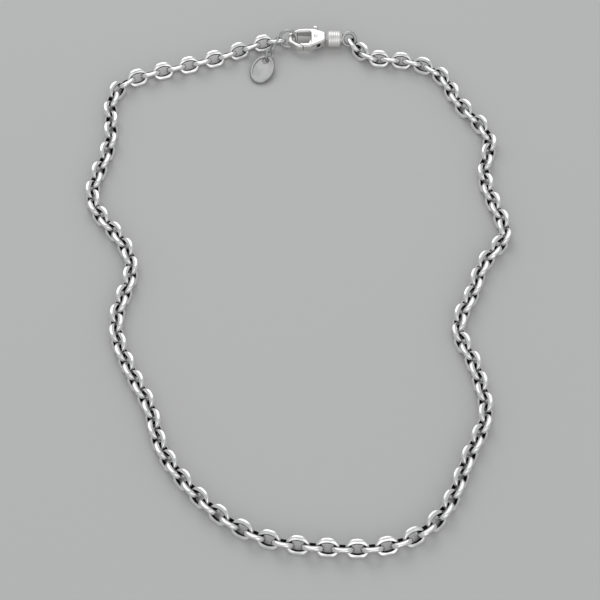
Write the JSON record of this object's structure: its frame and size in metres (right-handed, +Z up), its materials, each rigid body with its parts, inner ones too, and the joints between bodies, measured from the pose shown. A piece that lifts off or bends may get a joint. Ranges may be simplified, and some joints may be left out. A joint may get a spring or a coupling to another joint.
{
  "type": "chain necklace",
  "caption": "Silver-coloured, darkened oval cable chain necklace with filed links, a swivel lobster clasp, an end ring and a bare oval tag.",
  "frame": {"origin": "on the plane the necklace lies on, under the middle of its bounding box", "axes": "+Z up; +Y from the front of the loop to the clasp at its back; +X to the right seen from above with the clasp at the top"},
  "size_m": [0.1086, 0.163, 0.005],
  "materials": {
    "oxidised_links": "silver assumed, bright brushed flats with dark recesses",
    "polished_clasp": "polished, silver assumed",
    "oxidised_rings": "dull grey, oxidised silver assumed",
    "steel_pins": "hidden pins, steel assumed"
  },
  "bodies": {
    "links_01": {"chain_links_01": "oxidised_links"},
    "links_02": {"chain_links_02": "oxidised_links"},
    "links_03": {"chain_links_03": "oxidised_links"},
    "links_04": {"chain_links_04": "oxidised_links"},
    "links_05": {"chain_links_05": "oxidised_links"},
    "links_06": {"chain_links_06": "oxidised_links"},
    "links_07": {"chain_links_07": "oxidised_links"},
    "links_08": {"chain_links_08": "oxidised_links"},
    "links_09": {"chain_links_09": "oxidised_links"},
    "links_10": {"chain_links_10": "oxidised_links"},
    "links_11": {"chain_links_11": "oxidised_links"},
    "links_12": {"chain_links_12": "oxidised_links"},
    "links_13": {"chain_links_13": "oxidised_links"},
    "links_14": {"chain_links_14": "oxidised_links"},
    "links_15": {"chain_links_15": "oxidised_links"},
    "links_16": {"chain_links_16": "oxidised_links"},
    "links_17": {"chain_links_17": "oxidised_links"},
    "links_18": {"chain_links_18": "oxidised_links"},
    "links_19": {"chain_links_19": "oxidised_links"},
    "links_20": {"chain_links_20": "oxidised_links"},
    "links_21": {"chain_links_21": "oxidised_links"},
    "links_22": {"chain_links_22": "oxidised_links"},
    "links_23": {"chain_links_23": "oxidised_links"},
    "links_24": {"chain_links_24": "oxidised_links"},
    "links_25": {"chain_links_25": "oxidised_links"},
    "links_26": {"chain_links_26": "oxidised_links"},
    "links_27": {"chain_links_27": "oxidised_links"},
    "links_28": {"chain_links_28": "oxidised_links"},
    "links_29": {"chain_links_29": "oxidised_links"},
    "links_30": {"chain_links_30": "oxidised_links"},
    "links_31": {"chain_links_31": "oxidised_links"},
    "links_32": {"chain_links_32": "oxidised_links"},
    "links_33": {"chain_links_33": "oxidised_links"},
    "links_34": {"chain_links_34": "oxidised_links"},
    "links_35": {"chain_links_35": "oxidised_links"},
    "links_36": {"chain_links_36": "oxidised_links"},
    "links_37": {"chain_links_37": "oxidised_links"},
    "links_38": {"chain_links_38": "oxidised_links"},
    "links_39": {"chain_links_39": "oxidised_links"},
    "links_40": {"chain_links_40": "oxidised_links"},
    "links_41": {"chain_links_41": "oxidised_links"},
    "links_42": {"chain_links_42": "oxidised_links"},
    "links_43": {"chain_links_43": "oxidised_links"},
    "links_44": {"chain_links_44": "oxidised_links"},
    "swivel_end": {"swivel_eye": "oxidised_rings", "swivel_cap": "oxidised_rings", "swivel_barrel": "polished_clasp", "swivel_stud": "steel_pins"},
    "clasp": {"clasp_body": "polished_clasp", "clasp_rivet": "steel_pins", "clasp_spring": "steel_pins"},
    "trigger": {"clasp_trigger": "polished_clasp"},
    "end_ring": {"end_ring": "oxidised_rings"},
    "tag_ring": {"tag_ring": "oxidised_rings"},
    "tag_link": {"tag_link": "oxidised_rings"},
    "tag": {"end_tag": "oxidised_rings"}
  },
  "joints": [
    {"name": "clasp_trigger_pivot", "type": "hinge", "parent": "clasp", "child": "trigger", "pos_m": [0.00497, 0.07745, 0.00238], "axis": [0, 0, -1], "range_deg": [0, 11], "stiffness_Nm_per_rad": 0.002},
    {"name": "clasp_swivel_turn", "type": "hinge", "parent": "swivel_end", "child": "clasp", "pos_m": [0.00767, 0.07725, 0.00238], "axis": [1, 0, 0], "range_deg": [-12, 1.5]},
    {"name": "tag_ring_swing", "type": "hinge", "parent": "links_01", "child": "tag_ring", "pos_m": [-0.00583, 0.07573, 0.00305], "axis": [-0.9817, -0.1903, 0], "range_deg": [0, 20]},
    {"name": "tag_link_swing", "type": "hinge", "parent": "tag_ring", "child": "tag_link", "pos_m": [-0.00708, 0.07265, 0.0023], "axis": [-0.9023, 0.4311, 0], "range_deg": [0, 10]},
    {"name": "tag_lift", "type": "hinge", "parent": "tag_link", "child": "tag", "pos_m": [-0.00848, 0.06995, 0.00195], "axis": [-0.945, 0.327, 0], "range_deg": [0, 16]},
    {"name": "kink_left_1", "type": "hinge", "parent": "links_21", "child": "links_20", "pos_m": [-0.01405, -0.07375, 0.0018], "axis": [0, 0, 1], "range_deg": [-14, 14]},
    {"name": "kink_left_2", "type": "hinge", "parent": "links_17", "child": "links_16", "pos_m": [-0.0346, -0.04309, 0.0018], "axis": [0, 0, 1], "range_deg": [-14, 14]},
    {"name": "kink_left_3", "type": "hinge", "parent": "links_13", "child": "links_12", "pos_m": [-0.04338, -0.00929, 0.0018], "axis": [0, 0, 1], "range_deg": [-14, 14]},
    {"name": "kink_left_4", "type": "hinge", "parent": "links_10", "child": "links_09", "pos_m": [-0.04913, 0.01562, 0.0018], "axis": [0, 0, 1], "range_deg": [-14, 14]},
    {"name": "kink_left_5", "type": "hinge", "parent": "links_06", "child": "links_05", "pos_m": [-0.04934, 0.05422, 0.0018], "axis": [0, 0, 1], "range_deg": [-5, 5]},
    {"name": "kink_left_6", "type": "hinge", "parent": "links_02", "child": "links_01", "pos_m": [-0.01422, 0.07415, 0.0018], "axis": [0, 0, 1], "range_deg": [-10, 10]},
    {"name": "kink_right_1", "type": "hinge", "parent": "links_25", "child": "links_26", "pos_m": [0.03316, -0.07114, 0.0018], "axis": [0, 0, 1], "range_deg": [-14, 14]},
    {"name": "kink_right_2", "type": "hinge", "parent": "links_29", "child": "links_30", "pos_m": [0.04431, -0.03528, 0.0018], "axis": [0, 0, 1], "range_deg": [-14, 14]},
    {"name": "kink_right_3", "type": "hinge", "parent": "links_32", "child": "links_33", "pos_m": [0.04244, -0.0096, 0.0018], "axis": [0, 0, 1], "range_deg": [-14, 14]},
    {"name": "kink_right_4", "type": "hinge", "parent": "links_36", "child": "links_37", "pos_m": [0.04954, 0.02303, 0.0018], "axis": [0, 0, 1], "range_deg": [-14, 14]},
    {"name": "kink_right_5", "type": "hinge", "parent": "links_41", "child": "links_42", "pos_m": [0.03506, 0.06735, 0.0018], "axis": [0, 0, 1], "range_deg": [-5, 5]},
    {"name": "kink_left_1_follow_1", "type": "hinge", "parent": "links_23", "child": "links_22", "pos_m": [0.00526, -0.07933, 0.0018], "axis": [0, 0, 1], "range_deg": [-4.98, 4.98]},
    {"name": "kink_left_1_follow_2", "type": "hinge", "parent": "links_22", "child": "links_21", "pos_m": [-0.00488, -0.07783, 0.0018], "axis": [0, 0, 1], "range_deg": [-14.19, 14.19]},
    {"name": "kink_left_1_follow_4", "type": "hinge", "parent": "links_20", "child": "links_19", "pos_m": [-0.02155, -0.06739, 0.0018], "axis": [0, 0, 1], "range_deg": [-4.99, 4.99]},
    {"name": "kink_left_2_follow_1", "type": "hinge", "parent": "links_19", "child": "links_18", "pos_m": [-0.02762, -0.05998, 0.0018], "axis": [0, 0, 1], "range_deg": [-5.66, 5.66]},
    {"name": "kink_left_2_follow_2", "type": "hinge", "parent": "links_18", "child": "links_17", "pos_m": [-0.03227, -0.05192, 0.0018], "axis": [0, 0, 1], "range_deg": [-1.49, 1.49]},
    {"name": "kink_left_2_follow_4", "type": "hinge", "parent": "links_16", "child": "links_15", "pos_m": [-0.03818, -0.03487, 0.0018], "axis": [0, 0, 1], "range_deg": [-10.03, 10.03]},
    {"name": "kink_left_3_follow_1", "type": "hinge", "parent": "links_15", "child": "links_14", "pos_m": [-0.04191, -0.02672, 0.0018], "axis": [0, 0, 1], "range_deg": [-1.91, 1.91]},
    {"name": "kink_left_3_follow_2", "type": "hinge", "parent": "links_14", "child": "links_13", "pos_m": [-0.04439, -0.01814, 0.0018], "axis": [0, 0, 1], "range_deg": [-9.7, 9.7]},
    {"name": "kink_left_3_follow_4", "type": "hinge", "parent": "links_12", "child": "links_11", "pos_m": [-0.04143, -0.00056, 0.0018], "axis": [0, 0, 1], "range_deg": [-6.41, 6.41]},
    {"name": "kink_left_4_follow_1", "type": "hinge", "parent": "links_11", "child": "links_10", "pos_m": [-0.04382, 0.00812, 0.0018], "axis": [0, 0, 1], "range_deg": [-6.17, 6.17]},
    {"name": "kink_left_4_follow_3", "type": "hinge", "parent": "links_09", "child": "links_08", "pos_m": [-0.05257, 0.02384, 0.0018], "axis": [0, 0, 1], "range_deg": [-10.46, 10.46]},
    {"name": "kink_left_4_follow_4", "type": "hinge", "parent": "links_08", "child": "links_07", "pos_m": [-0.05073, 0.03332, 0.0018], "axis": [0, 0, 1], "range_deg": [-2.43, 2.43]},
    {"name": "kink_left_5_follow_1", "type": "hinge", "parent": "links_07", "child": "links_06", "pos_m": [-0.04874, 0.04355, 0.0018], "axis": [0, 0, 1], "range_deg": [-2.16, 2.16]},
    {"name": "kink_left_5_follow_3", "type": "hinge", "parent": "links_05", "child": "links_04", "pos_m": [-0.04427, 0.06309, 0.0018], "axis": [0, 0, 1], "range_deg": [-4.89, 4.89]},
    {"name": "kink_left_5_follow_4", "type": "hinge", "parent": "links_04", "child": "links_03", "pos_m": [-0.03423, 0.06672, 0.0018], "axis": [0, 0, 1], "range_deg": [-1.85, 1.85]},
    {"name": "kink_left_6_follow_1", "type": "hinge", "parent": "links_03", "child": "links_02", "pos_m": [-0.02402, 0.06989, 0.0018], "axis": [0, 0, 1], "range_deg": [-4.34, 4.34]},
    {"name": "end_ring_turn", "type": "hinge", "parent": "links_01", "child": "end_ring", "pos_m": [-0.00394, 0.07732, 0.0022], "axis": [0, 0, 1], "range_deg": [-13.57, 13.57]},
    {"name": "kink_right_1_follow_1", "type": "hinge", "parent": "links_23", "child": "links_24", "pos_m": [0.01551, -0.07971, 0.0018], "axis": [0, 0, 1], "range_deg": [-4.83, 4.83]},
    {"name": "kink_right_1_follow_2", "type": "hinge", "parent": "links_24", "child": "links_25", "pos_m": [0.02539, -0.07743, 0.0018], "axis": [0, 0, 1], "range_deg": [-13.7, 13.7]},
    {"name": "kink_right_1_follow_4", "type": "hinge", "parent": "links_26", "child": "links_27", "pos_m": [0.0377, -0.06232, 0.0018], "axis": [0, 0, 1], "range_deg": [-5.33, 5.33]},
    {"name": "kink_right_2_follow_1", "type": "hinge", "parent": "links_27", "child": "links_28", "pos_m": [0.04113, -0.05321, 0.0018], "axis": [0, 0, 1], "range_deg": [-2.67, 2.67]},
    {"name": "kink_right_2_follow_2", "type": "hinge", "parent": "links_28", "child": "links_29", "pos_m": [0.04477, -0.04448, 0.0018], "axis": [0, 0, 1], "range_deg": [-10.74, 10.74]},
    {"name": "kink_right_2_follow_4", "type": "hinge", "parent": "links_30", "child": "links_31", "pos_m": [0.04218, -0.02641, 0.0018], "axis": [0, 0, 1], "range_deg": [-6.13, 6.13]},
    {"name": "kink_right_3_follow_1", "type": "hinge", "parent": "links_31", "child": "links_32", "pos_m": [0.03943, -0.01794, 0.0018], "axis": [0, 0, 1], "range_deg": [-7.47, 7.47]},
    {"name": "kink_right_3_follow_3", "type": "hinge", "parent": "links_33", "child": "links_34", "pos_m": [0.04534, -0.00118, 0.0018], "axis": [0, 0, 1], "range_deg": [-6.4, 6.4]},
    {"name": "kink_right_3_follow_4", "type": "hinge", "parent": "links_34", "child": "links_35", "pos_m": [0.04993, 0.00636, 0.0018], "axis": [0, 0, 1], "range_deg": [-0.73, 0.73]},
    {"name": "kink_right_4_follow_1", "type": "hinge", "parent": "links_35", "child": "links_36", "pos_m": [0.05229, 0.01447, 0.0018], "axis": [0, 0, 1], "range_deg": [-6.01, 6.01]},
    {"name": "kink_right_4_follow_3", "type": "hinge", "parent": "links_37", "child": "links_38", "pos_m": [0.04825, 0.03277, 0.0018], "axis": [0, 0, 1], "range_deg": [-11.4, 11.4]},
    {"name": "kink_right_4_follow_4", "type": "hinge", "parent": "links_38", "child": "links_39", "pos_m": [0.05004, 0.04278, 0.0018], "axis": [0, 0, 1], "range_deg": [-3.2, 3.2]},
    {"name": "kink_right_5_follow_1", "type": "hinge", "parent": "links_39", "child": "links_40", "pos_m": [0.04489, 0.05168, 0.0018], "axis": [0, 0, 1], "range_deg": [-0.26, 0.26]},
    {"name": "kink_right_5_follow_2", "type": "hinge", "parent": "links_40", "child": "links_41", "pos_m": [0.0405, 0.06026, 0.0018], "axis": [0, 0, 1], "range_deg": [-2.62, 2.62]},
    {"name": "kink_right_5_follow_4", "type": "hinge", "parent": "links_42", "child": "links_43", "pos_m": [0.02639, 0.07011, 0.0018], "axis": [0, 0, 1], "range_deg": [-5.1, 5.1]},
    {"name": "kink_right_5_follow_5", "type": "hinge", "parent": "links_43", "child": "links_44", "pos_m": [0.01794, 0.07207, 0.0018], "axis": [0, 0, 1], "range_deg": [-4.96, 4.96]},
    {"name": "swivel_eye_turn", "type": "hinge", "parent": "links_44", "child": "swivel_end", "pos_m": [0.01463, 0.07738, 0.0022], "axis": [0, 0, 1], "range_deg": [-2.68, 2.68]}
  ],
  "couplings": [
    {"joint": "kink_left_1_follow_1", "follows": "kink_left_1", "ratio": 0.3415},
    {"joint": "kink_left_1_follow_2", "follows": "kink_left_1", "ratio": -0.9993},
    {"joint": "kink_left_1_follow_4", "follows": "kink_left_1", "ratio": -0.3422},
    {"joint": "kink_left_2_follow_1", "follows": "kink_left_2", "ratio": -0.3903},
    {"joint": "kink_left_2_follow_2", "follows": "kink_left_2", "ratio": 0.0925},
    {"joint": "kink_left_2_follow_4", "follows": "kink_left_2", "ratio": -0.7022},
    {"joint": "kink_left_3_follow_1", "follows": "kink_left_3", "ratio": 0.1222},
    {"joint": "kink_left_3_follow_2", "follows": "kink_left_3", "ratio": -0.6785},
    {"joint": "kink_left_3_follow_4", "follows": "kink_left_3", "ratio": -0.4437},
    {"joint": "kink_left_4_follow_1", "follows": "kink_left_4", "ratio": -0.4264},
    {"joint": "kink_left_4_follow_3", "follows": "kink_left_4", "ratio": -0.7332},
    {"joint": "kink_left_4_follow_4", "follows": "kink_left_4", "ratio": 0.1596},
    {"joint": "kink_left_5_follow_1", "follows": "kink_left_5", "ratio": -0.3924},
    {"joint": "kink_left_5_follow_3", "follows": "kink_left_5", "ratio": -0.9377},
    {"joint": "kink_left_5_follow_4", "follows": "kink_left_5", "ratio": 0.3301},
    {"joint": "kink_left_6_follow_1", "follows": "kink_left_6", "ratio": -0.4145},
    {"joint": "end_ring_turn", "follows": "kink_left_6", "ratio": -1.3369},
    {"joint": "kink_right_1_follow_1", "follows": "kink_right_1", "ratio": 0.3306},
    {"joint": "kink_right_1_follow_2", "follows": "kink_right_1", "ratio": -0.9643},
    {"joint": "kink_right_1_follow_4", "follows": "kink_right_1", "ratio": -0.3663},
    {"joint": "kink_right_2_follow_1", "follows": "kink_right_2", "ratio": 0.1761},
    {"joint": "kink_right_2_follow_2", "follows": "kink_right_2", "ratio": -0.7526},
    {"joint": "kink_right_2_follow_4", "follows": "kink_right_2", "ratio": -0.4235},
    {"joint": "kink_right_3_follow_1", "follows": "kink_right_3", "ratio": -0.5196},
    {"joint": "kink_right_3_follow_3", "follows": "kink_right_3", "ratio": -0.4426},
    {"joint": "kink_right_3_follow_4", "follows": "kink_right_3", "ratio": -0.0378},
    {"joint": "kink_right_4_follow_1", "follows": "kink_right_4", "ratio": -0.4147},
    {"joint": "kink_right_4_follow_3", "follows": "kink_right_4", "ratio": -0.7998},
    {"joint": "kink_right_4_follow_4", "follows": "kink_right_4", "ratio": 0.2145},
    {"joint": "kink_right_5_follow_1", "follows": "kink_right_5", "ratio": 0.0124},
    {"joint": "kink_right_5_follow_2", "follows": "kink_right_5", "ratio": -0.4833},
    {"joint": "kink_right_5_follow_4", "follows": "kink_right_5", "ratio": -0.98},
    {"joint": "kink_right_5_follow_5", "follows": "kink_right_5", "ratio": 0.9513},
    {"joint": "swivel_eye_turn", "follows": "kink_right_5", "ratio": -0.4964}
  ]
}
